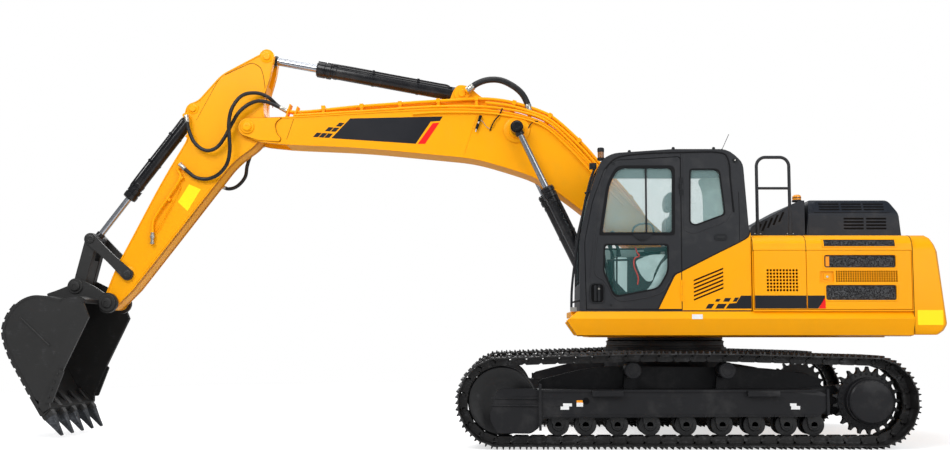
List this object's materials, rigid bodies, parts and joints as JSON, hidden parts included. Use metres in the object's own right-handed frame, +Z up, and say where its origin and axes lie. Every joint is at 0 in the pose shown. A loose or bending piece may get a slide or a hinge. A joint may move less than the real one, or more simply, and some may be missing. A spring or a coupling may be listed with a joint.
{
  "type": "crawler excavator",
  "caption": "Tracked excavator with slewing cab and engine body, banana boom, arm, toothed bucket, hydraulic cylinders and opening doors.",
  "frame": {"origin": "middle of the overall length and width, on the ground under the shoes", "axes": "+X towards the tail, +Y towards the machine's right side, +Z up"},
  "size_m": [10.2632, 3.19, 4.4074],
  "materials": {
    "yellow_paint": "semi-gloss yellow-orange enamel",
    "graphite_paint": "satin graphite enamel",
    "undercarriage_paint": "satin graphite enamel",
    "bucket_paint": "satin charcoal enamel",
    "track_steel": "rolled and cast steel, dark",
    "chrome_rod": "polished rod",
    "hose_rubber": "hose rubber",
    "cab_glass": "green tinted safety glass",
    "seat_cloth": "woven seat cloth",
    "cab_plastic": "moulded plastic"
  },
  "bodies": {
    "undercarriage": {"track_left": "track_steel", "track_frame_left": "undercarriage_paint", "idler_left": "track_steel", "sprocket_left": "undercarriage_paint", "bottom_rollers_left": "track_steel", "track_right": "track_steel", "track_frame_right": "undercarriage_paint", "idler_right": "track_steel", "sprocket_right": "undercarriage_paint", "bottom_rollers_right": "track_steel", "x_frame": "undercarriage_paint", "slew_ring": "track_steel"},
    "upper": {"upper_frame": "yellow_paint", "counterweight": "yellow_paint", "body_left": "yellow_paint", "body_right": "yellow_paint", "cooler": "graphite_paint", "engine": "graphite_paint", "control_valve": "graphite_paint", "hydraulic_tank": "yellow_paint", "fuel_tank": "yellow_paint", "step_box": "yellow_paint", "sloping_cover": "graphite_paint", "handrail_left": "graphite_paint", "handrail_right": "graphite_paint", "cab_shell": "graphite_paint", "quarter_glass": "cab_glass", "right_glass": "cab_glass", "rear_glass": "cab_glass", "windscreen": "cab_glass", "roof_hatch": "cab_glass", "seat_base": "cab_plastic", "seat_cushion": "seat_cloth", "seat_back": "seat_cloth", "pedals_and_levers": "cab_plastic"},
    "boom": {"boom": "yellow_paint", "hose_arm_outer": "hose_rubber", "hose_arm_inner": "hose_rubber", "hose_arm_far": "hose_rubber", "hose_boom_top": "hose_rubber"},
    "arm": {"arm": "yellow_paint"},
    "bucket": {"bucket": "bucket_paint"},
    "bucket_side_links": {"bucket_side_links": "bucket_paint"},
    "bucket_push_link": {"bucket_push_link": "bucket_paint"},
    "cab_door": {"cab_door": "graphite_paint", "door_glass_upper": "cab_glass", "door_glass_lower": "cab_glass"},
    "left_front_door": {"door_left_front": "yellow_paint"},
    "left_rear_door": {"door_left_rear": "yellow_paint"},
    "right_door": {"door_right": "yellow_paint"},
    "engine_hood": {"engine_hood": "graphite_paint"},
    "boom_cylinder_left_barrel": {"boom_cylinder_left_barrel": "graphite_paint"},
    "boom_cylinder_left_rod": {"boom_cylinder_left_rod": "chrome_rod"},
    "boom_cylinder_right_barrel": {"boom_cylinder_right_barrel": "graphite_paint"},
    "boom_cylinder_right_rod": {"boom_cylinder_right_rod": "chrome_rod"},
    "arm_cylinder_barrel": {"arm_cylinder_barrel": "graphite_paint"},
    "arm_cylinder_rod": {"arm_cylinder_rod": "chrome_rod"},
    "bucket_cylinder_barrel": {"bucket_cylinder_barrel": "graphite_paint"},
    "bucket_cylinder_rod": {"bucket_cylinder_rod": "chrome_rod"}
  },
  "joints": [
    {"name": "slew", "type": "hinge", "parent": "undercarriage", "child": "upper", "pos_m": [2.13159, 0, 1.1], "axis": [0, 0, 1], "continuous": true},
    {"name": "boom_lift", "type": "hinge", "parent": "upper", "child": "boom", "pos_m": [2.18159, 0, 1.95], "axis": [0, 1, 0], "range_deg": [-40, 30]},
    {"name": "arm_swing", "type": "hinge", "parent": "boom", "child": "arm", "pos_m": [-2.62828, 0, 3.48873], "axis": [0, -1, 0], "range_deg": [-25, 75], "deforming": ["hose_arm_outer", "hose_arm_inner", "hose_arm_far"]},
    {"name": "bucket_curl", "type": "hinge", "parent": "arm", "child": "bucket", "pos_m": [-4.15572, 0, 1.4844], "axis": [0, -1, 0], "range_deg": [-50, 110]},
    {"name": "boom_cylinder_left_tilt", "type": "hinge", "parent": "upper", "child": "boom_cylinder_left_barrel", "pos_m": [1.42159, -0.345, 1.45], "axis": [0, 1, 0], "range_deg": [-40.32, 30.49]},
    {"name": "boom_cylinder_left_stroke", "type": "slide", "parent": "boom_cylinder_left_barrel", "child": "boom_cylinder_left_rod", "axis": [-0.4376, 0, 0.8992], "range_m": [-0.6024, 0.4543]},
    {"name": "boom_cylinder_right_tilt", "type": "hinge", "parent": "upper", "child": "boom_cylinder_right_barrel", "pos_m": [1.42159, 0.345, 1.45], "axis": [0, 1, 0], "range_deg": [-40.32, 30.49]},
    {"name": "boom_cylinder_right_stroke", "type": "slide", "parent": "boom_cylinder_right_barrel", "child": "boom_cylinder_right_rod", "axis": [-0.4376, 0, 0.8992], "range_m": [-0.6024, 0.4543]},
    {"name": "arm_cylinder_tilt", "type": "hinge", "parent": "boom", "child": "arm_cylinder_barrel", "pos_m": [-0.1858, 0, 3.90007], "axis": [0, 1, 0], "range_deg": [-9.82, 3.94]},
    {"name": "arm_cylinder_stroke", "type": "slide", "parent": "arm_cylinder_barrel", "child": "arm_cylinder_rod", "axis": [-0.9828, 0, 0.1847], "range_m": [-0.3652, 1.0756]},
    {"name": "bucket_cylinder_tilt", "type": "hinge", "parent": "arm", "child": "bucket_cylinder_barrel", "pos_m": [-3.27335, 0, 3.71629], "axis": [0, 1, 0], "range_deg": [-5.39, 3]},
    {"name": "bucket_cylinder_stroke", "type": "slide", "parent": "bucket_cylinder_barrel", "child": "bucket_cylinder_rod", "axis": [-0.5955, 0, -0.8034], "range_m": [-0.3732, 0.8091]},
    {"name": "side_link_swing", "type": "hinge", "parent": "arm", "child": "bucket_side_links", "pos_m": [-3.96062, 0, 1.80971], "axis": [0, 1, 0], "range_deg": [-75.5, 34.86]},
    {"name": "push_link_swing", "type": "hinge", "parent": "bucket", "child": "bucket_push_link", "pos_m": [-4.51678, 0, 1.66968], "axis": [0, 1, 0], "range_deg": [-34.29, 74.23]},
    {"name": "cab_door", "type": "hinge", "parent": "upper", "child": "cab_door", "pos_m": [2.11959, -1.344, 2.1], "axis": [0, 0, 1], "range_deg": [0, 170]},
    {"name": "left_front_door", "type": "hinge", "parent": "upper", "child": "left_front_door", "pos_m": [3.38859, -1.374, 1.7], "axis": [0, 0, 1], "range_deg": [0, 90]},
    {"name": "left_rear_door", "type": "hinge", "parent": "upper", "child": "left_rear_door", "pos_m": [4.46559, -1.374, 1.7], "axis": [0, 0, 1], "range_deg": [0, 115]},
    {"name": "right_door", "type": "hinge", "parent": "upper", "child": "right_door", "pos_m": [4.46559, 1.374, 1.7], "axis": [0, 0, -1], "range_deg": [0, 115]},
    {"name": "hood", "type": "hinge", "parent": "upper", "child": "engine_hood", "pos_m": [4.67359, 0, 2.178], "axis": [0, 1, 0], "range_deg": [0, 50]}
  ],
  "couplings": [
    {"joint": "boom_cylinder_left_tilt", "follows": "boom_lift", "ratio": 0.98308},
    {"joint": "boom_cylinder_left_stroke", "follows": "boom_lift", "m_per_rad": 0.84851},
    {"joint": "boom_cylinder_right_tilt", "follows": "boom_lift", "ratio": 0.98308},
    {"joint": "boom_cylinder_right_stroke", "follows": "boom_lift", "m_per_rad": 0.84851},
    {"joint": "arm_cylinder_tilt", "follows": "arm_swing", "ratio": -0.11764},
    {"joint": "arm_cylinder_stroke", "follows": "arm_swing", "m_per_rad": 0.81406},
    {"joint": "bucket_cylinder_tilt", "follows": "bucket_curl", "ratio": -0.03993},
    {"joint": "bucket_cylinder_stroke", "follows": "bucket_curl", "m_per_rad": 0.41621},
    {"joint": "side_link_swing", "follows": "bucket_curl", "ratio": -0.67728},
    {"joint": "push_link_swing", "follows": "bucket_curl", "ratio": 0.66576}
  ]
}
